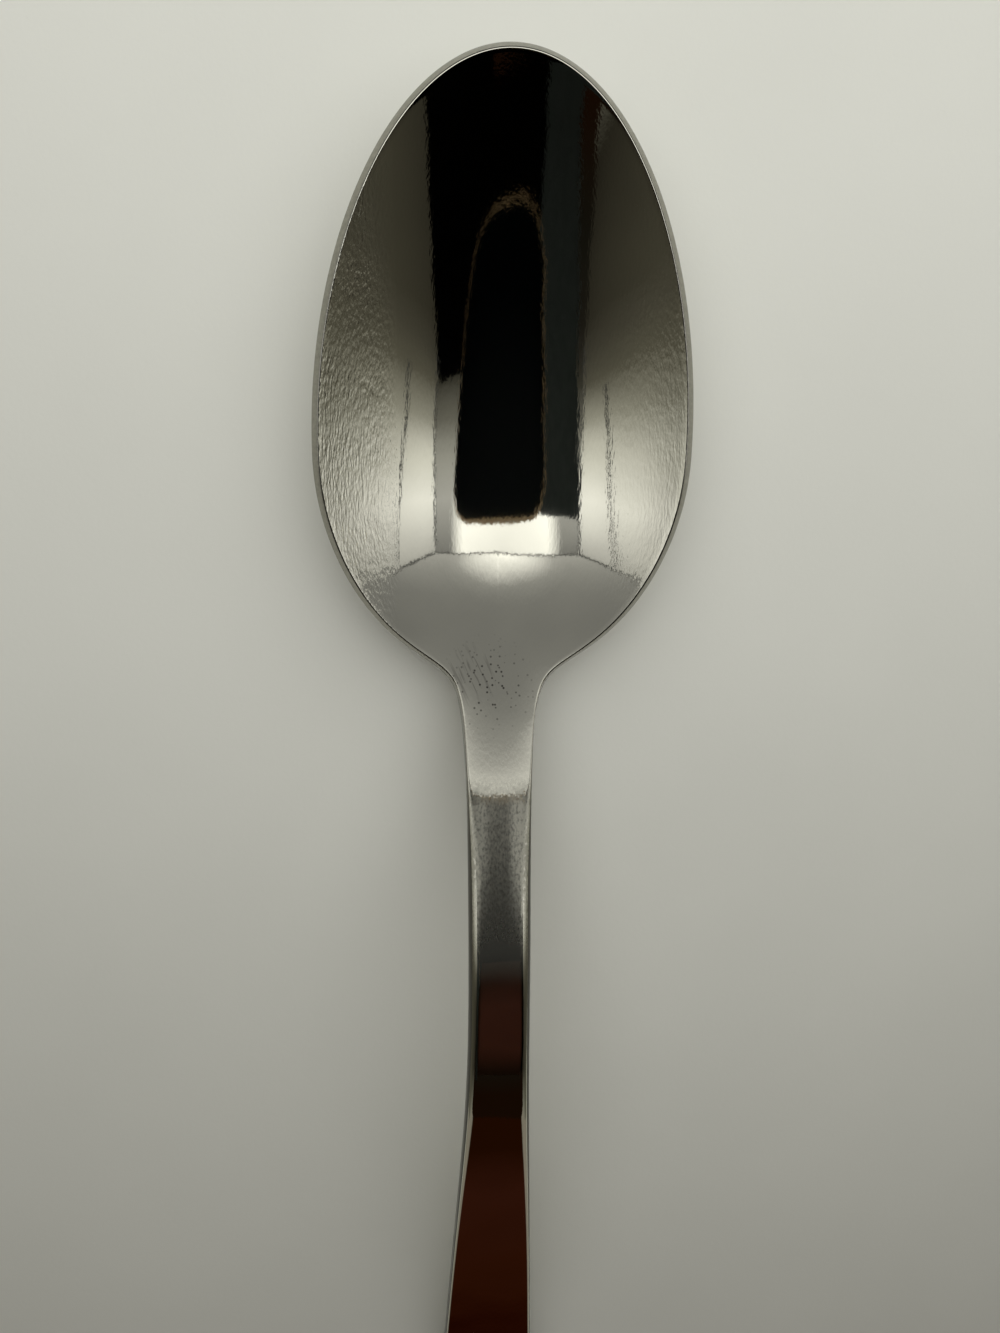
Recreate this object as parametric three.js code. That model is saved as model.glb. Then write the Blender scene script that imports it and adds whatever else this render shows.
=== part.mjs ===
// Teaspoon: one piece of polished stainless steel, lying on a table with its hollow up.
// Millimetres. +X is right, +Y runs from the handle to the bowl's tip, +Z is up.
// "along" is the distance from the tip towards the handle's end, as seen from above.
import * as THREE from 'three';

const { clamp, degToRad, lerp, smootherstep } = THREE.MathUtils;

// The top face's outline, as seen from above
const LENGTH = 140;
const BOWL_HALF_WIDTH = 15.1;
const TIP_TO_WIDEST = 28.4;
const WIDEST_TO_HEEL = 18.8;
const SHOULDER_HALF_WIDTH = 5.1; // where the bowl's edge sweeps into the handle's
const NECK_HALF_WIDTH = 2.68;
const FLARE_LENGTH = 71; // from where the handle starts to widen to its end
const FLARE_EASE = 28; // the stretch over which the widening sets in
const FLARE_RATE = 0.049; // half width gained per millimetre after that
const END_ROUNDING = 5; // length of the rounded end

// The side view
const BOWL_DEPTH = 7; // inside edge down to inside bottom, at the widest place
const BOWL_LONG_RADIUS = 41; // of the hollow's bottom, along the spoon
const WIDEST_TO_LOWEST = 1.8;
const HEEL_RADIUS = 27; // of the steeper rise from there to the neck
const HEEL_ONSET = 10; // the stretch behind the lowest place over which it sets in
const HEEL_EASE = 12; // the stretch over which it ends
const NECK_ANGLE = 22.8; // degrees, the neck's rise
const HANDLE_BEND_LENGTH = 50; // the arch between the rising neck and the straight tail
const TAIL_ANGLE = 14; // degrees, the straight tail's fall towards the table

// Thickness and edges: the bowl's values change to the neck's, then to the end's
const NECK_BLEND_BEFORE_HEEL = 4;
const NECK_BLEND_LENGTH = 16;
const END_BLEND_TO_END = 85;
const END_BLEND_LENGTH = 55;
const BOWL_THICKNESS = 1.25;
const RIM_THICKNESS = 0.95;
const NECK_THICKNESS = 2.8;
const END_THICKNESS = 1.9;
const RIM_EDGE_RADIUS = 0.2;
const NECK_EDGE_RADIUS = 1.1;
const END_EDGE_RADIUS = 0.3;

// How finely the surface is divided
const STATION_SPACING = 3;
const STATION_TURN = 8; // degrees of outline per station
const OUTLINE_SAMPLES = 2000;
const ACROSS = 8; // steps from the middle line to the edge
const EDGE_STEPS = 4; // steps in each rounded corner of the edge
const SLOPE_STEP = 0.0001;

const heel = TIP_TO_WIDEST + WIDEST_TO_HEEL;
const lowest = TIP_TO_WIDEST + WIDEST_TO_LOWEST;
const neckBlendStart = heel - NECK_BLEND_BEFORE_HEEL;
const endBlendStart = LENGTH - END_BLEND_TO_END;
const flareStart = LENGTH - FLARE_LENGTH;
const shoulderBlend = 2 * (SHOULDER_HALF_WIDTH ** 2 - NECK_HALF_WIDTH ** 2);

function slopeOf(curve, along) {
  return (curve(along + SLOPE_STEP) - curve(along - SLOPE_STEP)) / (2 * SLOPE_STEP);
}

// Rise of a line whose slope eases from 0 to 1 over the given length
function easedRise(distance, length) {
  const t = clamp(distance / length, 0, 1);
  const beyond = Math.max(distance - length, 0);
  return length * t ** 4 * (2.5 - 3 * t + t * t) + beyond;
}

// Rise of a curve whose bend eases from 0 to 1 over the given length
function easedBend(distance, length) {
  const t = clamp(distance / length, 0, 1);
  const beyond = Math.max(distance - length, 0);
  const within = length ** 2 * t ** 5 * (0.5 - 0.5 * t + (t * t) / 7);
  return within + (beyond * (length + beyond)) / 2;
}

// A value that differs between bowl, neck and handle end
function alongSpoon(along, bowlValue, neckValue, endValue) {
  const intoNeck = smootherstep(along, neckBlendStart, neckBlendStart + NECK_BLEND_LENGTH);
  const intoEnd = smootherstep(along, endBlendStart, endBlendStart + END_BLEND_LENGTH);
  return lerp(lerp(bowlValue, neckValue, intoNeck), endValue, intoEnd);
}

function handleHalfWidth(along) {
  return NECK_HALF_WIDTH + FLARE_RATE * easedRise(along - flareStart, FLARE_EASE);
}

// An egg of two half ellipses, running smoothly into the handle and its rounded end
function halfWidthSquared(along) {
  const reach = along < TIP_TO_WIDEST ? TIP_TO_WIDEST : WIDEST_TO_HEEL;
  const bowl = BOWL_HALF_WIDTH ** 2 * (1 - ((along - TIP_TO_WIDEST) / reach) ** 2);
  if (along < TIP_TO_WIDEST) {
    return bowl;
  }
  const handle = handleHalfWidth(along) ** 2;
  const blend = shoulderBlend * smootherstep(along, TIP_TO_WIDEST, heel);
  const body = (bowl + handle + Math.hypot(bowl - handle, blend)) / 2;
  const intoEnd = Math.max(1 - (LENGTH - along) / END_ROUNDING, 0);
  return body * (1 - intoEnd ** 2);
}

// The heel's curve ends where it has turned the middle line up to the neck's angle
const heelBend = 1 / HEEL_RADIUS - 1 / BOWL_LONG_RADIUS;
const slopeToGain =
  Math.tan(degToRad(NECK_ANGLE)) + lowest / BOWL_LONG_RADIUS + heelBend * (lowest + HEEL_ONSET / 2);
const curveEndStart = HEEL_RADIUS * slopeToGain - HEEL_EASE / 2;

// Height of the middle line through bowl and neck, as if the neck ran straight on upwards
function risingLine(along) {
  const bowl = (along - lowest) ** 2 / (2 * BOWL_LONG_RADIUS);
  const heelRise = heelBend * easedBend(along - lowest, HEEL_ONSET);
  const curveEnd = easedBend(along - curveEndStart, HEEL_EASE) / HEEL_RADIUS;
  return BOWL_THICKNESS + bowl + heelRise - curveEnd;
}

// The arch sits where it brings the lower corner of the handle's end down onto the table
const tail = degToRad(TAIL_ANGLE);
const endHeight =
  (END_THICKNESS - END_EDGE_RADIUS) * Math.cos(tail) + END_EDGE_RADIUS * (1 - Math.sin(tail));
const slopeChange = slopeOf(risingLine, LENGTH) + Math.tan(tail);
const bendToEnd = (risingLine(LENGTH) - endHeight) / slopeChange;
const archStart = LENGTH - bendToEnd - HANDLE_BEND_LENGTH / 2;

function middleHeight(along) {
  return risingLine(along) - slopeChange * easedRise(along - archStart, HANDLE_BEND_LENGTH);
}

// How strongly the hollow curves across: its height is this times the square of the distance
function dish(along) {
  return alongSpoon(along, BOWL_DEPTH / BOWL_HALF_WIDTH ** 2, 0, 0);
}

function topPoint(across, along) {
  return new THREE.Vector3(across, along, middleHeight(along) + dish(along) * across ** 2);
}

function topNormal(across, along) {
  const slopeAcross = 2 * dish(along) * across;
  const slopeAlong = slopeOf(middleHeight, along) + slopeOf(dish, along) * across ** 2;
  return new THREE.Vector3(-slopeAcross, -slopeAlong, 1).normalize();
}

// Places along the outline, closer together where it turns
function outlineStations() {
  const samples = [];
  for (let i = 0; i <= OUTLINE_SAMPLES; i += 1) {
    const along = (LENGTH * (1 - Math.cos((Math.PI * i) / OUTLINE_SAMPLES))) / 2;
    samples.push(new THREE.Vector2(Math.sqrt(Math.max(halfWidthSquared(along), 0)), along));
  }
  const effort = [0];
  let heading = Math.PI / 2;
  for (let i = 1; i <= OUTLINE_SAMPLES; i += 1) {
    const step = samples[i].clone().sub(samples[i - 1]);
    const previous = i > 1 ? heading : step.angle();
    heading = step.angle();
    const turn = Math.abs(Math.sin(heading - previous)) / degToRad(STATION_TURN);
    effort.push(effort[i - 1] + step.length() / STATION_SPACING + turn);
  }
  const count = Math.ceil(effort[OUTLINE_SAMPLES]);
  const stations = [];
  for (let i = 0, k = 0; i < count; i += 1) {
    const wanted = (effort[OUTLINE_SAMPLES] * i) / count;
    while (effort[k + 1] <= wanted) {
      k += 1;
    }
    const share = (wanted - effort[k]) / (effort[k + 1] - effort[k]);
    stations.push(lerp(samples[k].y, samples[k + 1].y, share));
  }
  return [...stations, LENGTH];
}

// Half a section, square to the outline: over the top face, round the edge, back underneath
function halfSection(along) {
  const halfWidth = Math.sqrt(Math.max(halfWidthSquared(along), 0));
  const lean = slopeOf(halfWidthSquared, along) / 2;
  const reach = Math.hypot(halfWidth, lean);
  const foot = along + lean;
  const toEdge = new THREE.Vector2(halfWidth / reach, -lean / reach);
  const edgeRadius = alongSpoon(along, RIM_EDGE_RADIUS, NECK_EDGE_RADIUS, END_EDGE_RADIUS);
  const edgeThickness = alongSpoon(along, RIM_THICKNESS, NECK_THICKNESS, END_THICKNESS);

  const top = [];
  const underside = [];
  for (let i = 0; i < ACROSS; i += 1) {
    const distance = ((reach - edgeRadius) * i) / ACROSS;
    const across = toEdge.x * distance;
    const here = foot + toEdge.y * distance;
    const point = topPoint(across, here);
    const middleThickness = alongSpoon(here, BOWL_THICKNESS, NECK_THICKNESS, END_THICKNESS);
    const outerThickness = alongSpoon(here, RIM_THICKNESS, NECK_THICKNESS, END_THICKNESS);
    const thickness = lerp(middleThickness, outerThickness, (distance / reach) ** 2);
    top.push(point);
    underside.unshift(point.clone().addScaledVector(topNormal(across, here), -thickness));
  }

  const up = topNormal(halfWidth, along);
  const out = new THREE.Vector3(toEdge.x, toEdge.y, 0).projectOnPlane(up).normalize();
  const corner = topPoint(halfWidth, along).addScaledVector(out, -edgeRadius);
  const upperCentre = corner.clone().addScaledVector(up, -edgeRadius);
  const lowerCentre = corner.clone().addScaledVector(up, edgeRadius - edgeThickness);
  const upperCorner = [];
  const lowerCorner = [];
  for (let i = 0; i <= EDGE_STEPS; i += 1) {
    const angle = (Math.PI / 2) * (i / EDGE_STEPS);
    const near = edgeRadius * Math.sin(angle);
    const far = edgeRadius * Math.cos(angle);
    upperCorner.push(upperCentre.clone().addScaledVector(out, near).addScaledVector(up, far));
    lowerCorner.push(lowerCentre.clone().addScaledVector(out, far).addScaledVector(up, -near));
  }
  return [...top, ...upperCorner, ...lowerCorner, ...underside];
}

// The right half from its sections, and its mirror image, sharing the points on the middle plane
function mirroredSolid(sections) {
  const lastSection = sections.length - 1;
  const lastPoint = sections[0].length - 1;
  const positions = [];
  const right = [];
  const left = [];
  sections.forEach((section, i) => {
    right.push([]);
    left.push([]);
    section.forEach((point, j) => {
      const inMiddle = i === 0 || i === lastSection || j === 0 || j === lastPoint;
      const x = inMiddle ? 0 : point.x;
      right[i].push(positions.length / 3);
      positions.push(x, -point.y, point.z);
      left[i].push(inMiddle ? right[i][j] : positions.length / 3);
      if (!inMiddle) {
        positions.push(-x, -point.y, point.z);
      }
    });
  });

  const triangles = [];
  const addQuad = (a, b, c, d) => triangles.push(a, b, c, a, c, d);
  for (let i = 0; i < lastSection; i += 1) {
    for (let j = 0; j < lastPoint; j += 1) {
      const r = [right[i][j], right[i + 1][j], right[i + 1][j + 1], right[i][j + 1]];
      const l = [left[i][j], left[i][j + 1], left[i + 1][j + 1], left[i + 1][j]];
      // The diagonal avoids a flat triangle where the middle plane's four corners are
      const sameHalf = i < lastSection / 2 === j < lastPoint / 2;
      if (sameHalf) {
        addQuad(...r);
        addQuad(...l);
      } else {
        addQuad(r[1], r[2], r[3], r[0]);
        addQuad(l[1], l[2], l[3], l[0]);
      }
    }
  }
  const geometry = new THREE.BufferGeometry();
  geometry.setAttribute('position', new THREE.Float32BufferAttribute(positions, 3));
  geometry.setIndex(triangles);
  geometry.computeVertexNormals();
  return geometry;
}

const polishedSteel = new THREE.MeshStandardMaterial({
  color: 0xcac8c3,
  roughness: 0.1,
  metalness: 1,
});

const spoonGeometry = mirroredSolid(outlineStations().map(halfSection));
spoonGeometry.computeBoundingBox();
const middle = spoonGeometry.boundingBox.getCenter(new THREE.Vector3());
spoonGeometry.translate(0, -middle.y, -spoonGeometry.boundingBox.min.z);

const spoon = new THREE.Mesh(spoonGeometry, polishedSteel);
spoon.name = 'spoon';

const teaspoon = new THREE.Group();
teaspoon.add(spoon);

export default teaspoon;
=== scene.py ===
# %% [markdown]
# A teaspoon lies on a pale table and is seen from close above. The real one is stamped from a single
# strip of stainless steel, pressed to shape and polished. So there is one piece to make, and the lesson is
# about one smooth surface and what it mirrors. It could be pulled out of a few faces under a subdivision
# modifier, but a mirror shows the slightest dent, so here the surface is worked out from the spoon's sizes.
# The frame comes first: it holds the spoon's solid, and the visible spoon has to fill the same box.

import math

import bpy
import numpy as np
from mathutils import Matrix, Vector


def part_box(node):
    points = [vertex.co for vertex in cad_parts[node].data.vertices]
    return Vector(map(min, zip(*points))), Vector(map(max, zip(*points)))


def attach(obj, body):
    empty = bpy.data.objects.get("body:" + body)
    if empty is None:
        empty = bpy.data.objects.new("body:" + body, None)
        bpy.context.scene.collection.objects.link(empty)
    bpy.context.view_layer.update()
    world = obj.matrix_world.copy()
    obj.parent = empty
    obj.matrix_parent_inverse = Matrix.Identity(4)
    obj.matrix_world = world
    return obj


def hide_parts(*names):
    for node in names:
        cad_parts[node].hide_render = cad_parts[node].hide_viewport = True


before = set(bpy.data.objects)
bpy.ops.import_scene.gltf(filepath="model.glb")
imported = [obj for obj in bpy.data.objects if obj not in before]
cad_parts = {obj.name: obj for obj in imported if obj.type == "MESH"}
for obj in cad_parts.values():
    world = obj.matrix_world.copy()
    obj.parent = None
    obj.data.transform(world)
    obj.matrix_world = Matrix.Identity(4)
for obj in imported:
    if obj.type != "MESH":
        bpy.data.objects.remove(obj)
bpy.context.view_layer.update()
scene = bpy.context.scene
scene.view_settings.view_transform = "Standard"
MM = 0.001
solid_low, solid_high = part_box("spoon")
print("the spoon's solid in mm:", [round(size / MM, 1) for size in solid_high - solid_low])

# %% [markdown]
# The solid is made of flat facets, and a mirror would show every one of them. So the visible spoon is made
# again, from the same sizes, as a much finer mesh. All sizes are in millimetres. "Along" is the distance
# from the bowl's tip towards the handle's end, and the heel is the end of the bowl where the neck starts.
# The bowl's rim is cut a little sharper than in the solid, because its corners are thin lines of light.

# %% The spoon's sizes
LENGTH = 140.0
BOWL_HALF_WIDTH = 15.1
TIP_TO_WIDEST = 28.4
WIDEST_TO_HEEL = 18.8
SHOULDER_HALF_WIDTH = 5.1
NECK_HALF_WIDTH = 2.68
FLARE_LENGTH = 71.0
FLARE_EASE = 28.0
FLARE_RATE = 0.049
END_ROUNDING = 5.0
BOWL_DEPTH = 7.0
BOWL_LONG_RADIUS = 41.0
WIDEST_TO_LOWEST = 1.8
HEEL_RADIUS = 27.0
HEEL_ONSET = 10.0
HEEL_EASE = 12.0
NECK_ANGLE = math.radians(22.8)
HANDLE_BEND_LENGTH = 50.0
TAIL_ANGLE = math.radians(14.0)
NECK_BLEND_BEFORE_HEEL = 4.0
NECK_BLEND_LENGTH = 16.0
END_BLEND_TO_END = 85.0
END_BLEND_LENGTH = 55.0
THICKNESS = {"bowl": 1.25, "neck": 2.8, "end": 1.9}
RIM_THICKNESS = {"bowl": 0.95, "neck": 2.8, "end": 1.9}
EDGE_RADIUS = {"bowl": 0.13, "neck": 1.1, "end": 0.3}
EDGE_BLEND_DELAY = 8.0
heel = TIP_TO_WIDEST + WIDEST_TO_HEEL
lowest = TIP_TO_WIDEST + WIDEST_TO_LOWEST
print("bowl", heel, "mm long, lowest", round(lowest, 1), "mm from the tip")


# %% [markdown]
# A mirror shows kinks, and it shows sudden changes of curvature too, as a break in the reflected lines. So
# every change along the spoon uses one smooth step, which starts and ends with no slope and no bend. Its
# first integral turns one slope into another, and its second integral turns one curve into another.

# %% Smooth steps
def ease(distance, length):
    t = np.clip(distance / length, 0, 1)
    return t**3 * (10 - 15 * t + 6 * t * t)


def eased_rise(distance, length):
    t = np.clip(distance / length, 0, 1)
    return length * t**4 * (2.5 - 3 * t + t * t) + np.maximum(distance - length, 0)


def eased_bend(distance, length):
    t = np.clip(distance / length, 0, 1)
    beyond = np.maximum(distance - length, 0)
    return length**2 * t**5 * (0.5 - 0.5 * t + t * t / 7) + beyond * (length + beyond) / 2


def slope_of(curve, along, step=1e-4):
    return (curve(along + step) - curve(along - step)) / (2 * step)


def along_spoon(along, values):
    into_neck = ease(along - heel + NECK_BLEND_BEFORE_HEEL, NECK_BLEND_LENGTH)
    into_end = ease(along - LENGTH + END_BLEND_TO_END, END_BLEND_LENGTH)
    bowl_to_neck = values["bowl"] + (values["neck"] - values["bowl"]) * into_neck
    return bowl_to_neck + (values["end"] - bowl_to_neck) * into_end


print("thickness 60 mm from the tip:", round(float(along_spoon(60.0, THICKNESS)), 2), "mm")


# %% [markdown]
# Seen from above, the bowl is an egg made of two half ellipses, and the handle is a thin neck that flares
# towards its end. A smooth maximum joins the two and makes the small hollow curve of the shoulder. The
# squares of the widths are joined, not the widths, because an ellipse's square has a clean slope even at
# the tip.

# %% The outline from above
def half_width_squared(along):
    reach = np.where(along < TIP_TO_WIDEST, TIP_TO_WIDEST, WIDEST_TO_HEEL)
    bowl = BOWL_HALF_WIDTH**2 * (1 - ((along - TIP_TO_WIDEST) / reach) ** 2)
    handle = NECK_HALF_WIDTH + FLARE_RATE * eased_rise(along - LENGTH + FLARE_LENGTH, FLARE_EASE)
    hollow = 2 * (SHOULDER_HALF_WIDTH**2 - NECK_HALF_WIDTH**2)
    shoulder = hollow * ease(along - TIP_TO_WIDEST, WIDEST_TO_HEEL)
    joined = (bowl + handle**2 + np.hypot(bowl - handle**2, shoulder)) / 2
    into_end = np.maximum(1 - (LENGTH - along) / END_ROUNDING, 0)
    return np.where(along < TIP_TO_WIDEST, bowl, joined * (1 - into_end**2))


print("width 60 mm from the tip:", round(2 * math.sqrt(half_width_squared(60.0)), 1), "mm")

# %% [markdown]
# Seen from the side, the bowl's floor is a long shallow curve that bends up more tightly at the heel. The
# neck leaves it as a straight rising line, and the handle arches over and comes down straight to the table.
# The arch is placed so that the handle's end just touches the table, as the real spoon rests.

# %% The side view
heel_bend = 1 / HEEL_RADIUS - 1 / BOWL_LONG_RADIUS
slope_at_onset = lowest / BOWL_LONG_RADIUS + heel_bend * (lowest + HEEL_ONSET / 2)
curve_end = HEEL_RADIUS * (math.tan(NECK_ANGLE) + slope_at_onset) - HEEL_EASE / 2


def rising_line(along):
    floor = (along - lowest) ** 2 / (2 * BOWL_LONG_RADIUS)
    floor += heel_bend * eased_bend(along - lowest, HEEL_ONSET)
    return THICKNESS["bowl"] + floor - eased_bend(along - curve_end, HEEL_EASE) / HEEL_RADIUS


end_height = (THICKNESS["end"] - EDGE_RADIUS["end"]) * math.cos(TAIL_ANGLE)
end_height += EDGE_RADIUS["end"] * (1 - math.sin(TAIL_ANGLE))
slope_to_lose = slope_of(rising_line, LENGTH) + math.tan(TAIL_ANGLE)
arch_middle = LENGTH - (rising_line(LENGTH) - end_height) / slope_to_lose


def middle_height(along):
    arch_start = arch_middle - HANDLE_BEND_LENGTH / 2
    return rising_line(along) - slope_to_lose * eased_rise(along - arch_start, HANDLE_BEND_LENGTH)


print("the arch's middle is", round(float(arch_middle), 1), "mm from the tip")


# %% [markdown]
# Across the spoon, the top is dished in the bowl and flat on the handle. One curve that fades out at the
# neck does both, so the hollow runs into the handle with no edge. The surface's own normal is needed as
# well, because the steel's thickness is measured square to the surface.

# %% The top surface
def dish(along):
    return along_spoon(along, {"bowl": BOWL_DEPTH / BOWL_HALF_WIDTH**2, "neck": 0.0, "end": 0.0})


def top_point(across, along):
    return np.stack([across, along, middle_height(along) + dish(along) * across**2], axis=-1)


def top_normal(across, along):
    slope_along = slope_of(middle_height, along) + slope_of(dish, along) * across**2
    normal = np.stack([-2 * dish(along) * across, -slope_along, np.ones_like(along)], axis=-1)
    return normal / np.linalg.norm(normal, axis=-1, keepdims=True)


print("the bowl's floor is", round(float(middle_height(lowest)), 2), "mm above the table")

# %% [markdown]
# The surface is cut into half sections that meet the outline squarely, from the middle line out to the
# edge. They stand closer together where the outline turns fast, at the tip and at the shoulder. A plain
# grid would leave steps along the rim, and the rim is the brightest line on a spoon.

# %% Where the sections stand
STATION_SPACING = 0.6
STATION_TURN = math.radians(2.0)
FINE_STEPS = 8001


def outline_stations():
    fine = LENGTH * (1 - np.cos(np.linspace(0, math.pi, FINE_STEPS))) / 2
    outline = np.stack([np.sqrt(np.maximum(half_width_squared(fine), 0)), fine], axis=-1)
    step = np.diff(outline, axis=0)
    heading = np.arctan2(step[:, 1], step[:, 0])
    turn = np.abs(np.diff(heading, prepend=heading[0]))
    effort = np.cumsum(np.linalg.norm(step, axis=1) / STATION_SPACING + turn / STATION_TURN)
    effort = np.concatenate([[0.0], effort])
    count = math.ceil(effort[-1])
    return np.interp(np.linspace(0, effort[-1], count + 1), effort, fine)


stations = outline_stations()
print(len(stations), "sections along the outline")

# %% [markdown]
# Each half section goes along the top, round the cut edge and back underneath. The cut edge is where the
# press sheared the strip: a narrow flat face with its two corners rounded by polishing. The corners are
# real arcs of points, because it is in them that the edge catches the light. They stay tight round the
# bowl and grow only where the neck has become a bar.

# %% The half sections
ACROSS = 44
EDGE_STEPS = 6


def half_sections(along):
    half_width = np.sqrt(np.maximum(half_width_squared(along), 0))
    lean = slope_of(half_width_squared, along) / 2
    reach = np.hypot(half_width, lean)
    to_edge = np.stack([half_width, -lean], axis=-1) / reach[:, None]
    radius = along_spoon(along - EDGE_BLEND_DELAY, EDGE_RADIUS)[:, None]

    distance = (reach[:, None] - radius) * np.arange(ACROSS) / ACROSS
    across = to_edge[:, :1] * distance
    here = (along + lean)[:, None] + to_edge[:, 1:] * distance
    outward = (distance / reach[:, None]) ** 2
    thickness = along_spoon(here, THICKNESS) * (1 - outward)
    thickness += along_spoon(here, RIM_THICKNESS) * outward
    top = top_point(across, here)
    underside = top - top_normal(across, here) * thickness[..., None]

    up = top_normal(half_width, along)
    flat = np.pad(to_edge, ((0, 0), (0, 1)))
    out = flat - up * np.sum(flat * up, axis=-1, keepdims=True)
    out /= np.linalg.norm(out, axis=-1, keepdims=True)
    inset = top_point(half_width, along) - out * radius
    rim = along_spoon(along, RIM_THICKNESS)[:, None]
    upper_centre = (inset - up * radius)[:, None]
    lower_centre = (inset - up * (rim - radius))[:, None]
    angle = np.linspace(0, math.pi / 2, EDGE_STEPS + 1)[None, :, None]
    outwards = out[:, None] * radius[:, None]
    upwards = up[:, None] * radius[:, None]
    upper_corner = upper_centre + outwards * np.sin(angle) + upwards * np.cos(angle)
    lower_corner = lower_centre + outwards * np.cos(angle) - upwards * np.sin(angle)
    return np.concatenate([top, upper_corner, lower_corner, underside[:, ::-1]], axis=1)


sections = half_sections(stations)
print("points in a half section:", sections.shape[1])

# %% [markdown]
# The sections become one half of the spoon, and a Mirror modifier makes the other half, so both sides are
# exactly alike. The points on the middle line are set to zero across, which lets the modifier join the
# halves. The spoon then stands for the frame's solid and takes its place: same tip, same table.

# %% The spoon's mesh
points = sections * (MM, -MM, MM)
points[[0, -1], :, 0] = 0
points[:, [0, -1], 0] = 0
points[..., 1] += solid_high.y - points[..., 1].max()
points[..., 2] -= points[..., 2].min()
numbers = np.arange(points[..., 0].size).reshape(points.shape[:2])
corners = [numbers[:-1, :-1], numbers[1:, :-1], numbers[1:, 1:], numbers[:-1, 1:]]
faces = np.stack(corners, axis=-1).reshape(-1, 4)
mesh = bpy.data.meshes.new("polished_spoon")
mesh.from_pydata(points.reshape(-1, 3).tolist(), [], faces.tolist())
mesh.shade_smooth()
spoon = bpy.data.objects.new("polished_spoon", mesh)
scene.collection.objects.link(spoon)
mirror = spoon.modifiers.new("other_half", "MIRROR")
mirror.merge_threshold = 1e-7
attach(spoon, "root")
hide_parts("spoon")
print("half of the spoon:", len(mesh.vertices), "points")


# %% [markdown]
# Materials need a few helpers. One turns a colour as it is picked on a screen, an sRGB hex value, into the
# linear numbers that the renderer works with. One adds a node to a material, sets it up, fills or links its
# inputs and gives back its output, so that a material reads from top to bottom like a recipe. One starts a
# material with no nodes in it. The last one gives a pattern its place in millimetres, so that patterns can
# be sized like the real thing.

# %% Colours and nodes
def linear(hex_colour):
    parts = [int(hex_colour[i : i + 2], 16) / 255 for i in (1, 3, 5)]
    return tuple(c / 12.92 if c <= 0.04045 else ((c + 0.055) / 1.055) ** 2.4 for c in parts) + (1.0,)


def add_node(tree, kind, inputs, stops=(), **settings):
    node = tree.nodes.new(kind)
    for name, value in settings.items():
        setattr(node, name, value)
    for key, value in inputs.items():
        if isinstance(value, bpy.types.NodeSocket):
            tree.links.new(value, node.inputs[key])
        else:
            node.inputs[key].default_value = value
    for number, (place, colour) in enumerate(stops):
        ramp = node.color_ramp.elements
        stop = ramp[number] if number < 2 else ramp.new(place)
        stop.position = place
        stop.color = linear(colour)
    return next((output for output in node.outputs if output.enabled), None)


def empty_material(name):
    material = bpy.data.materials.new(name)
    material.use_nodes = True
    material.node_tree.nodes.clear()
    return material


def place_in_mm(tree):
    place = add_node(tree, "ShaderNodeTexCoord", {}).node.outputs["Object"]
    return add_node(tree, "ShaderNodeVectorMath", {0: place, "Scale": 1 / MM}, operation="SCALE")


print("mid grey #808080 in linear numbers:", [round(part, 3) for part in linear("#808080")[:3]])

# %% [markdown]
# The metal is stainless steel, stamped, then tumbled and buffed to a mirror. New, it gives the eye nothing
# but reflections, a little darker and warmer than what they mirror. A spoon in use is less even: washing
# and stirring dull the flanks of the bowl and the top of the cranked neck first. These masks say where, in
# millimetres on the spoon. One flank is more worn than the other, from years of stirring the same way. The
# crank's wear starts at once where the neck bends up, and fades out slowly along the handle.

# %% Where the polish is worn
LEFT_WEAR = {"From Min": -8.8, "From Max": -10.8}
RIGHT_WEAR = {"From Min": 9.0, "From Max": 14.0, "To Max": 0.35}
BLOTCH_SIZE = 5.0
CRANK_START = 13.8
CRANK_WORN_FROM = 11.3
CRANK_WORN_TO = 8.5
CRANK_END = -4.0
steel = empty_material("buffed_stainless_steel")
tree = steel.node_tree
in_mm = place_in_mm(tree)
across = add_node(tree, "ShaderNodeSeparateXYZ", {"Vector": in_mm})
towards_tip = across.node.outputs["Y"]
left_flank = add_node(tree, "ShaderNodeMapRange", {"Value": across} | LEFT_WEAR)
right_flank = add_node(tree, "ShaderNodeMapRange", {"Value": across} | RIGHT_WEAR)
flanks = add_node(tree, "ShaderNodeMath", {0: left_flank, 1: right_flank}, operation="ADD")
blotch_size = {"Vector": in_mm, "Scale": 1 / BLOTCH_SIZE, "Detail": 2.0}
blotch_noise = add_node(tree, "ShaderNodeTexNoise", blotch_size)
blotch_depth = {"Value": blotch_noise, "From Min": 0.35, "From Max": 0.6, "To Min": 0.5}
blotches = add_node(tree, "ShaderNodeMapRange", blotch_depth)
rubbed = add_node(tree, "ShaderNodeMath", {0: flanks, 1: blotches}, operation="MULTIPLY")
crank_rise = {"Value": towards_tip, "From Min": CRANK_START, "From Max": CRANK_WORN_FROM}
crank_fall = {"Value": towards_tip, "From Min": CRANK_END, "From Max": CRANK_WORN_TO}
crank_first = add_node(tree, "ShaderNodeMapRange", crank_rise)
crank_last = add_node(tree, "ShaderNodeMapRange", crank_fall, interpolation_type="SMOOTHSTEP")
frosted = add_node(tree, "ShaderNodeMath", {0: crank_first, 1: crank_last}, operation="MULTIPLY")
print("the crank is worn from", CRANK_START, "to", CRANK_END, "mm, counted towards the tip")

# %% [markdown]
# Buffing leaves a faint grain, drawn out along the spoon, like the peel of an orange seen from far. It is
# too low to feel, about a thousandth of a millimetre, but it tilts the mirror and makes the flanks look
# mottled. It is drawn coarser and higher than it is, so that it shows at the size of the picture. A second,
# wider wave stands for the pressing dies, which are never quite even.

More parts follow.
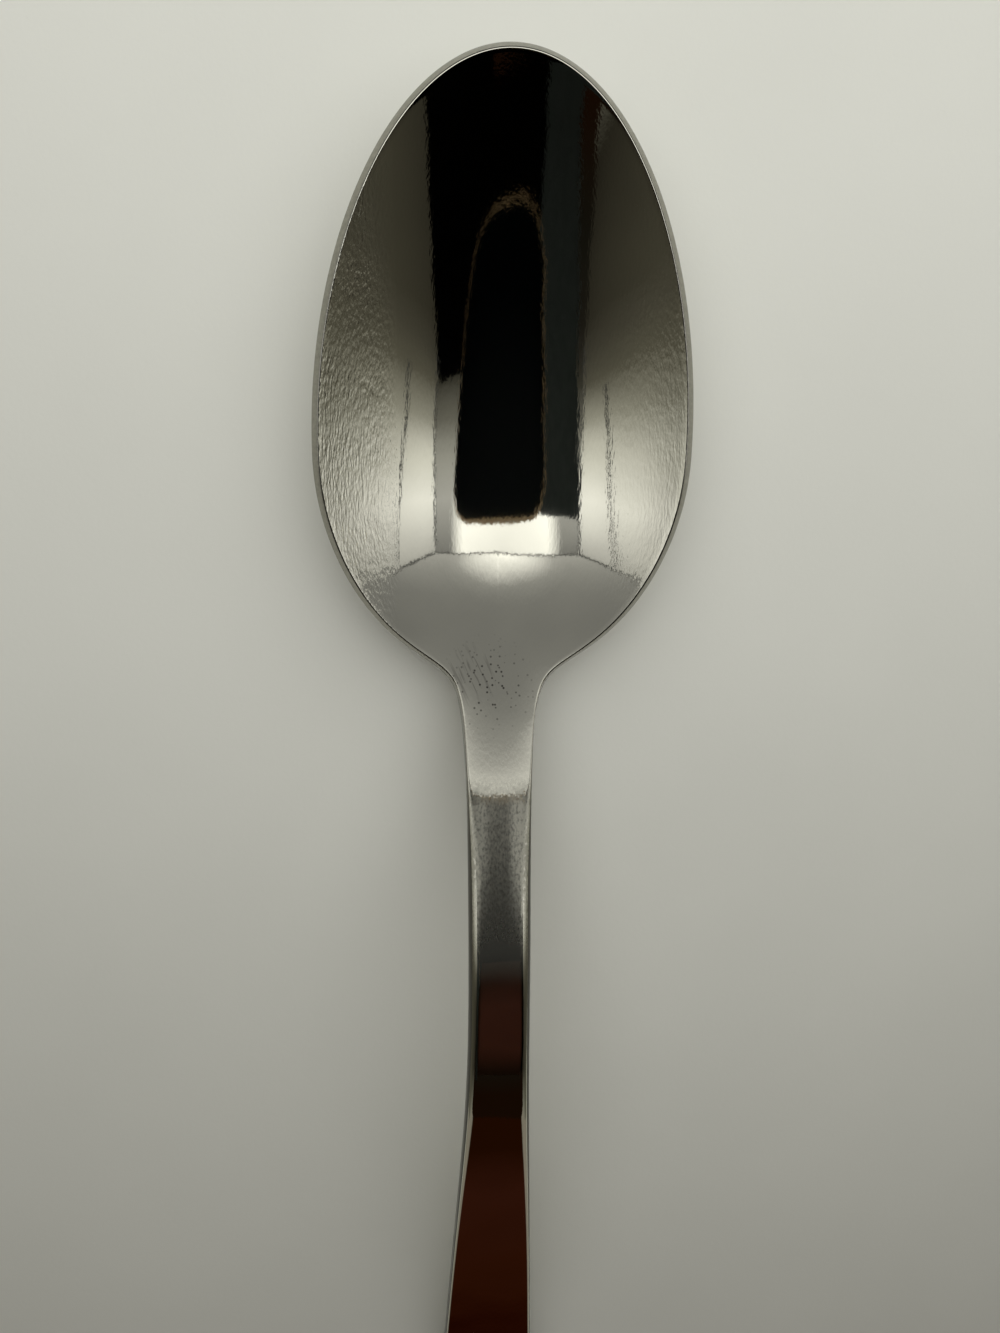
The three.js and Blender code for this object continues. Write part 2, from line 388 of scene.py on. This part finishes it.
# %% The grain of the polish
GRAIN_WIDTH = 0.2
GRAIN_LENGTH = 0.9
GRAIN_HEIGHT = 0.055
GRAIN_LEFT_BY_POLISH = 0.05
WAVE_SIZE = 4.0
WAVE_HEIGHT = 0.02
grain_scale = (1 / GRAIN_WIDTH, 1 / GRAIN_LENGTH, 1 / GRAIN_WIDTH)
grain_place = add_node(tree, "ShaderNodeMapping", {"Vector": in_mm, "Scale": grain_scale})
grain = add_node(tree, "ShaderNodeTexNoise", {"Vector": grain_place, "Scale": 1.0, "Detail": 2.0})
lowest_grain = GRAIN_LEFT_BY_POLISH * GRAIN_HEIGHT
grain_range = {"Value": rubbed, "To Min": lowest_grain, "To Max": GRAIN_HEIGHT}
grain_depth = add_node(tree, "ShaderNodeMapRange", grain_range)
wave = add_node(tree, "ShaderNodeTexNoise", {"Vector": in_mm, "Scale": 1 / WAVE_SIZE, "Detail": 0.0})
wave_height = add_node(tree, "ShaderNodeMath", {0: wave, 1: WAVE_HEIGHT}, operation="MULTIPLY")
both = {0: grain, 1: grain_depth, 2: wave_height}
height = add_node(tree, "ShaderNodeMath", both, operation="MULTIPLY_ADD")
print("grain", GRAIN_WIDTH, "x", GRAIN_LENGTH, "mm, drawn", GRAIN_HEIGHT, "mm high")

# %% [markdown]
# Wear has also rounded the crank towards its two edges, by less than half a millimetre. It could be part of
# the mesh, but it belongs to the worn share of the surface alone: what is left of the polish there still
# mirrors like a flat face. So it is a second height, which adds a smooth fall from the middle outwards.

# %% The crank's rounded edges
ROUNDED_FROM = 0.6
CRANK_ROUNDING = 0.45
from_middle = add_node(tree, "ShaderNodeMath", {0: across}, operation="ABSOLUTE")
fall_range = {"Value": from_middle, "From Min": ROUNDED_FROM, "From Max": NECK_HALF_WIDTH}
fall = add_node(tree, "ShaderNodeMapRange", fall_range, interpolation_type="SMOOTHSTEP")
rounded = add_node(tree, "ShaderNodeMath", {0: fall, 1: frosted}, operation="MULTIPLY")
all_heights = {0: rounded, 1: -CRANK_ROUNDING, 2: height}
worn_height = add_node(tree, "ShaderNodeMath", all_heights, operation="MULTIPLY_ADD")
print("the crank's edges lie", CRANK_ROUNDING, "mm lower where they are fully worn")

# %% [markdown]
# Salt, hard water and the draining rack etch tiny dull specks into the polish. Each scatters light where
# the rest mirrors it, so a worn place looks hazy: paler over a dark reflection, darker over a bright one.
# The real specks are a few hundredths of a millimetre across, too fine for the picture. So they are not
# drawn one by one: this only says which share of the surface they cover, in coarser mottles drawn out a
# little along the spoon. The crank of the neck has most of them, and its two edges more than its middle.

# %% Etched haze
SCUFF_WIDTH = 0.18
SCUFF_LENGTH = 0.32
ETCHED_ON_FLANKS = 0.05
ETCHED_ON_CRANK = {"To Min": 0.75, "To Max": 1.0}
EDGE_BAND = {"From Min": 0.6, "From Max": 2.2}
crank_range = {"Value": from_middle} | EDGE_BAND | ETCHED_ON_CRANK
crank_share = add_node(tree, "ShaderNodeMapRange", crank_range)
flank_share = add_node(tree, "ShaderNodeMath", {0: rubbed, 1: ETCHED_ON_FLANKS}, operation="MULTIPLY")
shares = {0: frosted, 1: crank_share, 2: flank_share}
etched_share = add_node(tree, "ShaderNodeMath", shares, operation="MULTIPLY_ADD")
scuff_scale = (1 / SCUFF_WIDTH, 1 / SCUFF_LENGTH, 1 / SCUFF_LENGTH)
scuff_place = add_node(tree, "ShaderNodeMapping", {"Vector": in_mm, "Scale": scuff_scale})
scuff_noise = add_node(tree, "ShaderNodeTexNoise", {"Vector": scuff_place, "Scale": 1.0, "Detail": 3.0})
scuff_range = {"Value": scuff_noise, "From Min": 0.3, "From Max": 0.7, "To Min": 0.5, "To Max": 1.5}
scuffs = add_node(tree, "ShaderNodeMapRange", scuff_range)
mottled = {0: etched_share, 1: scuffs}
etched = add_node(tree, "ShaderNodeMath", mottled, operation="MULTIPLY", use_clamp=True)
print("scuffs", SCUFF_WIDTH, "x", SCUFF_LENGTH, "mm")

# %% [markdown]
# Where the bowl runs into the neck, the buffing wheel could not reach well. It left a few small pits and a
# bundle of slanting wheel marks there. Both are darker than the polish round them, because they swallow
# light. Cells with a dot in each make the pits, and a noise stretched along the slant makes the marks.

# %% Pits and wheel marks at the neck
PIT_SPACING = 0.5
PIT_RADIUS = 0.12
MARK_WIDTH = 0.2
MARK_LENGTH = 2.5
MARK_SLANT = math.radians(-24)
PITS_MIDDLE = (-0.8, 21.0, 5.7)
MARKS_MIDDLE = (-2.4, 22.0, 5.5)


def round_patch(middle, full_within, none_beyond):
    away = add_node(tree, "ShaderNodeVectorMath", {0: in_mm, 1: middle}, operation="DISTANCE")
    fade = {"Value": away, "From Min": none_beyond, "From Max": full_within}
    return add_node(tree, "ShaderNodeMapRange", fade)


pitted = round_patch(PITS_MIDDLE, full_within=1.5, none_beyond=5.0)
marked = round_patch(MARKS_MIDDLE, full_within=1.0, none_beyond=3.0)
to_pit = add_node(tree, "ShaderNodeTexVoronoi", {"Vector": in_mm, "Scale": 1 / PIT_SPACING})
pit_share = PIT_RADIUS / PIT_SPACING
pit_edge = {"Value": to_pit, "From Min": pit_share, "From Max": pit_share / 2}
pits_all = add_node(tree, "ShaderNodeMapRange", pit_edge)
pits = add_node(tree, "ShaderNodeMath", {0: pits_all, 1: pitted}, operation="MULTIPLY")
slant = {"Vector": in_mm, "Angle": MARK_SLANT}
mark_turn = add_node(tree, "ShaderNodeVectorRotate", slant, rotation_type="Z_AXIS")
mark_scale = (1 / MARK_WIDTH, 1 / MARK_LENGTH, 1 / MARK_LENGTH)
mark_place = add_node(tree, "ShaderNodeMapping", {"Vector": mark_turn, "Scale": mark_scale})
mark_noise = add_node(tree, "ShaderNodeTexNoise", {"Vector": mark_place, "Scale": 1.0, "Detail": 1.0})
mark_edge = {"Value": mark_noise, "From Min": 0.54, "From Max": 0.68, "To Max": 0.4}
marks_all = add_node(tree, "ShaderNodeMapRange", mark_edge)
marks = add_node(tree, "ShaderNodeMath", {0: marks_all, 1: marked}, operation="MULTIPLY")
dark_spots = add_node(tree, "ShaderNodeMath", {0: pits, 1: marks}, operation="MAXIMUM")
print("pits", 2 * PIT_RADIUS, "mm across, wheel marks", MARK_LENGTH, "mm long")

# %% [markdown]
# The shader puts these together. Stainless steel mirrors a little over half of the light, with a warm grey
# tint, and that is its base colour. Smudges a few millimetres across change the tint slightly, and the pits
# and wheel marks darken it. A metal's base colour, roughness and bump are all it needs: its index of
# refraction stays as it is. The polish and the etched specks have the same colour. The specks are rougher
# and follow the crank's rounded edges, which makes the soft bright bands there. Their share mixes the two.

# %% Buffed stainless steel
SMUDGE_SIZE = 8.0
POLISH_ROUGHNESS = 0.04
ETCHED_ROUGHNESS = 0.45
smudge = add_node(tree, "ShaderNodeTexNoise", {"Vector": in_mm, "Scale": 1 / SMUDGE_SIZE, "Detail": 3.0})
tint = add_node(tree, "ShaderNodeValToRGB", {"Fac": smudge}, [(0.35, "#c5c3b5"), (0.65, "#cccabb")])
spotted = {"Factor": dark_spots, 6: tint, 7: linear("#4a4741")}
colour = add_node(tree, "ShaderNodeMix", spotted, data_type="RGBA")
relief = add_node(tree, "ShaderNodeBump", {"Height": height, "Distance": MM})
worn_relief = add_node(tree, "ShaderNodeBump", {"Height": worn_height, "Distance": MM})
metal = {"Base Color": colour, "Metallic": 1.0}
buffed_metal = metal | {"Roughness": POLISH_ROUGHNESS, "Normal": relief}
etched_metal = metal | {"Roughness": ETCHED_ROUGHNESS, "Normal": worn_relief}
polished = add_node(tree, "ShaderNodeBsdfPrincipled", buffed_metal)
dulled = add_node(tree, "ShaderNodeBsdfPrincipled", etched_metal)
surface = add_node(tree, "ShaderNodeMixShader", {"Fac": etched, 1: polished, 2: dulled})
add_node(tree, "ShaderNodeOutputMaterial", {"Surface": surface})
mesh.materials.append(steel)
print("steel:", len(tree.nodes), "nodes")

# %% [markdown]
# The cut edge is the same steel with another finish. The press sheared it and the tumbling barrel smoothed
# it, but no buffing wheel went along it, so it is rougher than the top. Its grey colour is painted shade: it
# darkens the edge as if it mirrored the shadowed table beside and below it, and so draws the spoon's
# outline.
# Along the neck and handle the painted shade is darker and the edge rougher still. It could be one material
# with a mask, but an edge is easier to find by its faces than by its place, so it is a second material.

# %% The cut edge
EDGE_GRAIN_SIZE = 0.3
EDGE_SHADED_AND_DULLED = {"From Min": 22.0, "From Max": 8.0}
EDGE_ROUGHNESS = {"To Min": 0.18, "To Max": 0.3}
cut_edge = empty_material("sheared_steel_with_painted_shade")
edge_tree = cut_edge.node_tree
edge_mm = place_in_mm(edge_tree)
edge_y = add_node(edge_tree, "ShaderNodeSeparateXYZ", {"Vector": edge_mm}).node.outputs["Y"]
# Painted shade: this mask darkens the edge's colour towards the neck and handle, and also makes it rougher
# there.
handle_shade_and_dullness = add_node(edge_tree, "ShaderNodeMapRange", {"Value": edge_y} | EDGE_SHADED_AND_DULLED)
edge_size = {"Vector": edge_mm, "Scale": 1 / EDGE_GRAIN_SIZE, "Detail": 2.0}
edge_noise = add_node(edge_tree, "ShaderNodeTexNoise", edge_size)
# The edge's grey is painted shade, darker than the steel on top; the noise gives it a fine grain of its own.
edge_shade_stops = [(0.3, "#949289"), (0.7, "#a4a298")]
edge_shade_tint = add_node(edge_tree, "ShaderNodeValToRGB", {"Fac": edge_noise}, edge_shade_stops)
edge_shade_mix = {"Factor": handle_shade_and_dullness, 6: edge_shade_tint, 7: linear("#5f5d57")}
edge_shaded_colour = add_node(edge_tree, "ShaderNodeMix", edge_shade_mix, data_type="RGBA")
edge_dullness = add_node(edge_tree, "ShaderNodeMapRange", {"Value": handle_shade_and_dullness} | EDGE_ROUGHNESS)
edge_metal = {"Base Color": edge_shaded_colour, "Metallic": 1.0, "Roughness": edge_dullness}
edge_surface = add_node(edge_tree, "ShaderNodeBsdfPrincipled", edge_metal)
add_node(edge_tree, "ShaderNodeOutputMaterial", {"Surface": edge_surface})
mesh.materials.append(cut_edge)
print("cut edge:", len(edge_tree.nodes), "nodes")

# %% [markdown]
# Every section has the same points in the same order, so a face's number in its section tells where it
# lies. The cut edge is the flat face in the middle and the outer half of the corner on each side of it.

# %% The faces of the cut edge
in_section = np.arange(numbers.shape[1] - 1)
flat_face = ACROSS + EDGE_STEPS
on_edge = np.abs(in_section - flat_face) <= EDGE_STEPS // 2
slots = np.tile(on_edge.astype(np.int32), numbers.shape[0] - 1)
mesh.polygons.foreach_set("material_index", slots)
print("faces on the cut edge:", int(slots.sum()), "of", len(mesh.polygons))

# %% [markdown]
# The table is matt white laminate: printed paper under melamine, pressed against a plate with a fine
# texture. It gives the spoon its pale ground and its soft shadow, and the rim mirrors it. The paper is
# slightly cloudy, and the texture takes the shine off. Its real pores are finer than half a millimetre and
# are drawn coarser, at that size.

# %% The table
TABLE_SIZE = 3.0
CLOUD_SIZE = 30.0
PORE_SIZE = 0.5
PORE_DEPTH = 0.01
bpy.ops.mesh.primitive_plane_add(size=TABLE_SIZE)
table = bpy.context.object
table.name = "table"
laminate = empty_material("matt_pressed_laminate")
tree = laminate.node_tree
table_mm = place_in_mm(tree)
cloud = add_node(tree, "ShaderNodeTexNoise", {"Vector": table_mm, "Scale": 1 / CLOUD_SIZE, "Detail": 4.0})
paper = add_node(tree, "ShaderNodeValToRGB", {"Fac": cloud}, [(0.3, "#d7d8ce"), (0.7, "#dbdcd2")])
pores = add_node(tree, "ShaderNodeTexNoise", {"Vector": table_mm, "Scale": 1 / PORE_SIZE, "Detail": 2.0})
texture = add_node(tree, "ShaderNodeBump", {"Height": pores, "Distance": PORE_DEPTH * MM})
sheen = add_node(tree, "ShaderNodeMapRange", {"Value": cloud, "To Min": 0.55, "To Max": 0.65})
melamine = {"Base Color": paper, "Roughness": sheen, "Normal": texture}
laminate_surface = add_node(tree, "ShaderNodeBsdfPrincipled", melamine)
print("table", TABLE_SIZE, "m wide, pores drawn", PORE_SIZE, "mm wide")

# %% [markdown]
# Far from the spoon, where the lamp no longer reaches, the table runs out into a pale wall, like a studio
# sweep. A bent sheet of mesh could do that, but it would also throw light back on the spoon. So the wall is
# a plain glow that the table's material changes into with distance, and the Light Path node keeps it to
# what is seen or mirrored: the wall lights nothing.

# %% The pale sweep
SWEEP_MIDDLE = (0.0, 30.0, 0.0)
SWEEP_START = 112.0
SWEEP_END = 250.0
WALL_COLOUR = "#bcbdb5"


def seen_or_mirrored(tree):
    ray = add_node(tree, "ShaderNodeLightPath", {}).node.outputs
    near = {0: ray["Is Camera Ray"], 1: ray["Is Glossy Ray"]}
    seen = add_node(tree, "ShaderNodeMath", near, operation="MAXIMUM")
    return add_node(tree, "ShaderNodeMath", {0: seen, 1: ray["Is Transmission Ray"]}, operation="MAXIMUM")


far = add_node(tree, "ShaderNodeVectorMath", {0: table_mm, 1: SWEEP_MIDDLE}, operation="DISTANCE")
sweep_range = {"Value": far, "From Min": SWEEP_START, "From Max": SWEEP_END}
sweep_range |= {"To Max": seen_or_mirrored(tree)}
sweep = add_node(tree, "ShaderNodeMapRange", sweep_range, interpolation_type="SMOOTHSTEP")
wall = add_node(tree, "ShaderNodeEmission", {"Color": linear(WALL_COLOUR), "Strength": 1.0})
swept_table = add_node(tree, "ShaderNodeMixShader", {"Fac": sweep, 1: laminate_surface, 2: wall})
add_node(tree, "ShaderNodeOutputMaterial", {"Surface": swept_table})
table.data.materials.append(laminate)
print("the table runs out into the wall from", SWEEP_START, "to", SWEEP_END, "mm")

# %% [markdown]
# The camera hangs close over the spoon with a wide lens, less than nine centimetres above the table. That
# makes the bowl large and lets the handle run out of the picture. It stands over the bowl and looks a little
# towards the handle. It is also just left of the middle line, so it turns a few degrees to the right. In the
# ZYX order the turn comes first and the lean after it.

# %% The camera
CAMERA_LEFT = 5.46
CAMERA_FROM_TIP = 25.13
CAMERA_HEIGHT = 88.7
CAMERA_LEAN = math.radians(15.0)
CAMERA_TURN = math.radians(3.7)
camera_data = bpy.data.cameras.new("camera")
camera_data.sensor_width = 36.0
camera_data.lens = 26.0
camera_data.clip_start = 0.005
camera = bpy.data.objects.new("camera", camera_data)
scene.collection.objects.link(camera)
scene.camera = camera
camera.location = (-CAMERA_LEFT * MM, solid_high.y - CAMERA_FROM_TIP * MM, CAMERA_HEIGHT * MM)
camera.rotation_mode = "ZYX"
camera.rotation_euler = (-CAMERA_LEAN, -CAMERA_TURN, 0.0)
bpy.context.view_layer.update()
print("camera at", [round(part / MM, 1) for part in camera.location], "mm")


# %% [markdown]
# Polished steel has no look of its own, it shows what stands round it. So the spoon stands in a light tent:
# white cloth on leaning walls, a roof, a back, and a brown front. The tent is there for the mirror only. It
# is hidden from the camera, lights nothing and casts no shadow, so the table keeps its own plain light. The
# cloth glows by itself, which is simpler than lamps behind cloth. Its glow changes with its depth in the
# tent and with its height, and a second glow can be added by the distance from the top of the back, where
# the main lamp stands behind the cloth.

# %% A glowing cloth
CLOTH_STRENGTH = 1.4
POOL_MIDDLE = (0.0, 1.0, 1.0)


def mirrored_only(name, data):
    thing = bpy.data.objects.new(name, data)
    scene.collection.objects.link(thing)
    thing.visible_camera = False
    thing.visible_diffuse = False
    thing.visible_shadow = False
    return thing


def tent_cloth(name, washes, pool_stretch=(0, 0, 0), pool_stops=()):
    cloth = empty_material(name)
    tree = cloth.node_tree
    share = add_node(tree, "ShaderNodeTexCoord", {}).node.outputs["Object"]
    shares = add_node(tree, "ShaderNodeSeparateXYZ", {"Vector": share}).node.outputs
    ramps = [add_node(tree, "ShaderNodeValToRGB", {"Fac": shares[way]}, washes[way]) for way in washes]
    glow = ramps[0]
    for ramp in ramps[1:]:
        mixed = {"Factor": 1.0, 6: glow, 7: ramp}
        glow = add_node(tree, "ShaderNodeMix", mixed, data_type="RGBA", blend_type="MULTIPLY")
    if pool_stops:
        aside = add_node(tree, "ShaderNodeVectorMath", {0: share, 1: POOL_MIDDLE}, operation="SUBTRACT")
        scaled = add_node(tree, "ShaderNodeVectorMath", {0: aside, 1: pool_stretch}, operation="MULTIPLY")
        away = add_node(tree, "ShaderNodeVectorMath", {0: scaled}, operation="LENGTH")
        pool = add_node(tree, "ShaderNodeValToRGB", {"Fac": away}, pool_stops)
        mixed = {"Factor": 1.0, 6: glow, 7: pool}
        glow = add_node(tree, "ShaderNodeMix", mixed, data_type="RGBA", blend_type="ADD")
    light = add_node(tree, "ShaderNodeEmission", {"Color": glow, "Strength": CLOTH_STRENGTH})
    add_node(tree, "ShaderNodeOutputMaterial", {"Surface": light})
    return cloth


print("a cloth glows with a strength of", CLOTH_STRENGTH)

# %% [markdown]
# Three of the cloths are white nylon and the front is brown cotton. All are woven, so they glow softly and
# have no shine. Each stop below is a share of the way through the tent and the colour there. A painted
# gradient could be laid on instead, but a few stops are enough, because the bowl squeezes the whole tent
# into three centimetres.

# %% The tent's four cloths
POOL_REACH = {"across": 0.375, "into roof": 0.43, "down the back": 0.49}
BROWN_REACH = 0.3
# Walls: bright towards the back, dimmest in front of the middle, and the table lights their foot a little.
wall_depth = [(0.0, "#77766f"), (0.15, "#55544d"), (0.28, "#201e19"), (0.557, "#2c2a24")]
wall_depth += [(0.609, "#3a3832"), (0.661, "#504e46")]
wall_depth += [(0.73, "#92918a"), (0.80, "#dcdcd8"), (0.87, "#ffffff"), (0.939, "#dcdcdc"), (1.0, "#b4b4b4")]
wall_height = [(0.0, "#626262"), (0.35, "#9a9a9a"), (0.62, "#e6e6e6"), (0.9, "#ffffff")]
wall_foot = [(0.0, "#000000"), (1.0, "#4c4a41")]
wall_cloth = tent_cloth("woven_white_nylon_walls", {"Y": wall_depth, "Z": wall_height}, (0, 0, 1), wall_foot)
# Roof: the same fall towards the front, half as bright, with the pool at the back.
roof_depth = [(0.20, "#150a04"), (0.40, "#13120e"), (0.557, "#1c1a16"), (0.609, "#262420")]
roof_depth += [(0.661, "#35342e"), (0.73, "#65645f"), (0.80, "#9a9a97"), (0.87, "#b3b3b3")]
roof_depth += [(0.939, "#9a9a9a"), (1.0, "#7d7d7d")]
roof_pool = [(0.0, "#e8e8e8"), (0.75, "#ffffff"), (1.0, "#000000")]
roof_stretch = (1 / POOL_REACH["across"], 1 / POOL_REACH["into roof"], 0)
roof_cloth = tent_cloth("woven_white_nylon_roof", {"Y": roof_depth}, roof_stretch, roof_pool)
# Back: grey at the foot and paler upwards, with the other half of the pool at the top.
back_height = [(0.0, "#696969"), (0.41, "#767676"), (0.54, "#7f7f7f"), (0.754, "#959595"), (1.0, "#afafaf")]
back_pool = [(0.0, "#ffffff"), (0.5, "#b4b4b4"), (0.8, "#404040"), (1.0, "#000000")]
back_stretch = (1 / POOL_REACH["across"], 0, 1 / POOL_REACH["down the back"])
back_cloth = tent_cloth("woven_white_nylon_back", {"Z": back_height}, back_stretch, back_pool)
# Front: brown cotton in the middle, which the handle mirrors on its way down to the table, grey beside it.
front_height = [(0.30, "#170200"), (0.40, "#2a1005"), (0.52, "#2e140c"), (0.72, "#1f0b02")]
front_sides = [(0.6, "#000000"), (1.0, "#77766f")]
front_stretch = (1 / BROWN_REACH, 0, 0)
front_cloth = tent_cloth("woven_brown_cotton_front", {"Z": front_height}, front_stretch, front_sides)
print("the walls have", len(wall_depth), "stops, the roof", len(roof_depth))

# %% [markdown]
# The tent is a box whose side walls lean in until the roof is half as wide as the floor. Its eight corners
# are written as shares of its size, and the object's scale makes it large. So the cloths can use the same
# shares for their glow, whatever the tent's size is.

# %% The tent
TENT_HALF_WIDTH = 0.96
TENT_FRONT = -0.96
TENT_DEPTH = 1.15
TENT_HEIGHT = 0.61
ROOF_SHARE = 0.5
tent = bpy.data.meshes.new("light_tent")
foot_and_top = ((1.0, 0), (ROOF_SHARE, 1))
tent_points = [(side * w, y, z) for side in (-1, 1) for y in (0, 1) for w, z in foot_and_top]
tent_faces = [(0, 1, 3, 2), (4, 5, 7, 6), (1, 3, 7, 5), (2, 3, 7, 6), (0, 1, 5, 4)]
tent.from_pydata(tent_points, [], tent_faces)
for cloth in (wall_cloth, roof_cloth, back_cloth, front_cloth):
    tent.materials.append(cloth)
tent.polygons.foreach_set("material_index", [0, 0, 1, 2, 3])
tent_box = mirrored_only("light_tent", tent)
tent_box.location = (0, TENT_FRONT, 0)
tent_box.scale = (TENT_HALF_WIDTH, TENT_DEPTH, TENT_HEIGHT)
print("tent", 2 * TENT_HALF_WIDTH, "x", TENT_DEPTH, "x", TENT_HEIGHT, "m")

# %% [markdown]
# The seams of a tent are sewn over with grey tape. In the bowl they become the fine dark lines that part
# the roof from the walls and the back, and two more run along the walls, a little below the roof. A curve
# with a round bevel makes each tape from its two ends, which are again shares of the tent's size, and its
# width in millimetres.

# %% The seam tape
SEAMS = [
    ((-ROOF_SHARE, 1.0, 1.0), (ROOF_SHARE, 1.0, 1.0), 7.0),
    ((-1.0, 1.0, 0.0), (-ROOF_SHARE, 1.0, 1.0), 10.0),
    ((1.0, 1.0, 0.0), (ROOF_SHARE, 1.0, 1.0), 10.0),
    ((-ROOF_SHARE, 0.6, 1.0), (-ROOF_SHARE, 1.0, 1.0), 10.0),
    ((ROOF_SHARE, 0.6, 1.0), (ROOF_SHARE, 1.0, 1.0), 10.0),
    ((0.651, 0.983, 0.697), (0.603, 0.657, 0.793), 12.0),
    ((-0.627, 0.990, 0.746), (-0.578, 0.677, 0.844), 12.0),
]
tape_curve = bpy.data.curves.new("seam_tape", "CURVE")
tape_curve.dimensions = "3D"
tape_curve.bevel_depth = 1.0
for start, end, width in SEAMS:
    spline = tape_curve.splines.new("POLY")
    spline.points.add(1)
    for point, (x, y, z) in zip(spline.points, (start, end)):
        point.co = (x * TENT_HALF_WIDTH, y * TENT_DEPTH, z * TENT_HEIGHT, 1.0)
        point.radius = width / 2 * MM
tape = empty_material("woven_grey_tape")
# The tape glows dimly by itself, like the cloth, so it shows in the mirror as a dark grey line.
tape_light = add_node(tape.node_tree, "ShaderNodeEmission", {"Color": linear("#404040"), "Strength": 1.0})
add_node(tape.node_tree, "ShaderNodeOutputMaterial", {"Surface": tape_light})
tape_curve.materials.append(tape)
seam_tape = mirrored_only("seam_tape", tape_curve)
seam_tape.location = (0, TENT_FRONT, 0)
print(len(SEAMS), "seams")


# %% [markdown]
# In a studio, dark cards keep a mirror from going all white. A card is a flat outline with rounded corners,
# filled with one face. Each corner is written as millimetres to the right, millimetres up, and how far
# from it the rounding starts. Card is pressed fibre, matt and slightly mottled, so it has no shine at all.
# A dyed one can also change its colour from the middle outwards.

# %% A card
CARD_MOTTLE = 4.0
CARD_ROUGHNESS = 0.8
CORNER_STEPS = 9


def card(name, plane, height, corners, colours, fades_over=None):
    outline = []
    for before, corner, after in zip(corners[-1:] + corners[:-1], corners, corners[1:] + corners[:1]):
        here = np.array(corner[:2])
        ways = [np.array(other[:2]) - here for other in (before, after)]
        start, end = [here + corner[2] * way / np.linalg.norm(way) for way in ways]
        for t in np.linspace(0, 1, CORNER_STEPS):
            x, y = (1 - t) ** 2 * start + 2 * t * (1 - t) * here + t**2 * end
            outline.append((x * MM, y * MM, height * MM))
    data = bpy.data.meshes.new(name)
    data.from_pydata(outline, [], [list(range(len(outline)))])
    board = empty_material(name)
    tree = board.node_tree
    card_mm = place_in_mm(tree)
    if fades_over:
        away = add_node(tree, "ShaderNodeVectorMath", {0: card_mm}, operation="LENGTH")
        shade = add_node(tree, "ShaderNodeMath", {0: away, 1: fades_over}, operation="DIVIDE")
    else:
        mottle = {"Vector": card_mm, "Scale": 1 / CARD_MOTTLE, "Detail": 2.0}
        shade = add_node(tree, "ShaderNodeTexNoise", mottle)
    stops = [(0.3, colours[0]), (0.7, colours[1])]
    fibres = add_node(tree, "ShaderNodeValToRGB", {"Fac": shade}, stops)
    matt = {"Base Color": fibres, "Roughness": CARD_ROUGHNESS, "Specular IOR Level": 0.0}
    board_surface = add_node(tree, "ShaderNodeBsdfPrincipled", matt)
    add_node(tree, "ShaderNodeOutputMaterial", {"Surface": board_surface})
    data.materials.append(board)
    mirrored_only(name, data).matrix_world = plane


print("a card's corner has", CORNER_STEPS, "points")

# %% [markdown]
# Four cards stand round the lens, a few millimetres behind it and one behind the other, so their corners are
# counted from the lens. They give the bowl its deep black, and their edges give it clean lines. The fifth
# lies low over the handle and gives the arch its brown. It darkens outwards, so that its reflection has no
# hard ends.

# %% The five cards
BROWN_CARD_PLACE = (5.0, -24.0, 45.0)
BROWN_CARD_FADE = 24.0
lens = camera.matrix_world
over_handle = Matrix.Translation([part * MM for part in BROWN_CARD_PLACE])
flock_corners = [(55, -2.6, 16), (-28, -2.6, 16), (-22, -95, 30), (50, -95, 30)]
kraft_corners = [(56, -0.9, 18), (-29, -0.9, 18), (-23, -98, 32), (51, -98, 32)]
grey_corners = [(-20, -3, 6), (-59, -3, 6), (-59, -200, 6), (-20, -200, 6)]
black_corners = [(84, -46, 5), (-59, -46, 5), (-59, -160, 5), (45, -160, 5), (65, -210, 5), (174, -210, 5)]
brown_corners = [(18, 18, 18), (-18, 18, 18), (-18, -18, 18), (18, -18, 18)]
card("flocked_black_card", lens, 3.0, flock_corners, ("#030609", "#05080b"))
card("raw_kraft_board", lens, 4.0, kraft_corners, ("#b09575", "#ba9f7f"))
card("dyed_grey_card", lens, 5.0, grey_corners, ("#383e41", "#404649"))
card("dyed_black_card", lens, 6.0, black_corners, ("#020202", "#040404"))
card("dyed_brown_card", over_handle, 0.0, brown_corners, ("#5a352d", "#2e1f16"), BROWN_CARD_FADE)
print("the brown card lies", BROWN_CARD_PLACE[2], "mm over the table")

# %% [markdown]
# The table is lit by one soft lamp, a round diffuser close beyond the tip. It makes the far end of the
# table bright and lets it fall off towards the handle, and the spoon's soft shadow falls that way too. The
# spoon mirrors the tent instead of the lamp, so the lamp is hidden from mirrors.

# %% The lamp
LAMP_SIZE = 0.4
LAMP_POWER = 0.7
LAMP_PLACE = (0.01, 0.2, 0.15)
LAMP_LEAN = (math.radians(-10), math.radians(8), 0.0)
lamp_data = bpy.data.lights.new("round_diffuser", "AREA")
lamp_data.shape = "DISK"
lamp_data.size = LAMP_SIZE
lamp_data.energy = LAMP_POWER
lamp = bpy.data.objects.new("round_diffuser", lamp_data)
scene.collection.objects.link(lamp)
lamp.location = LAMP_PLACE
lamp.rotation_euler = LAMP_LEAN
lamp.visible_glossy = False
lamp.visible_camera = False
print("lamp", LAMP_SIZE, "m wide,", LAMP_POWER, "W")

# %% [markdown]
# The room gives a dim, warm, even light from all sides, which fills the shadows. Where the room itself is
# seen, directly or in a mirror, it is the same plain pale wall that the table runs out into.

# %% The room
FILL_COLOUR = "#40392e"
world = bpy.data.worlds.new("plain_room")
scene.world = world
world.use_nodes = True
tree = world.node_tree
tree.nodes.clear()
fill_or_wall = {"Factor": seen_or_mirrored(tree), 6: linear(FILL_COLOUR), 7: linear(WALL_COLOUR)}
room_colour = add_node(tree, "ShaderNodeMix", fill_or_wall, data_type="RGBA")
room = add_node(tree, "ShaderNodeBackground", {"Color": room_colour})
add_node(tree, "ShaderNodeOutputWorld", {"Surface": room})
print("room:", len(tree.nodes), "nodes")
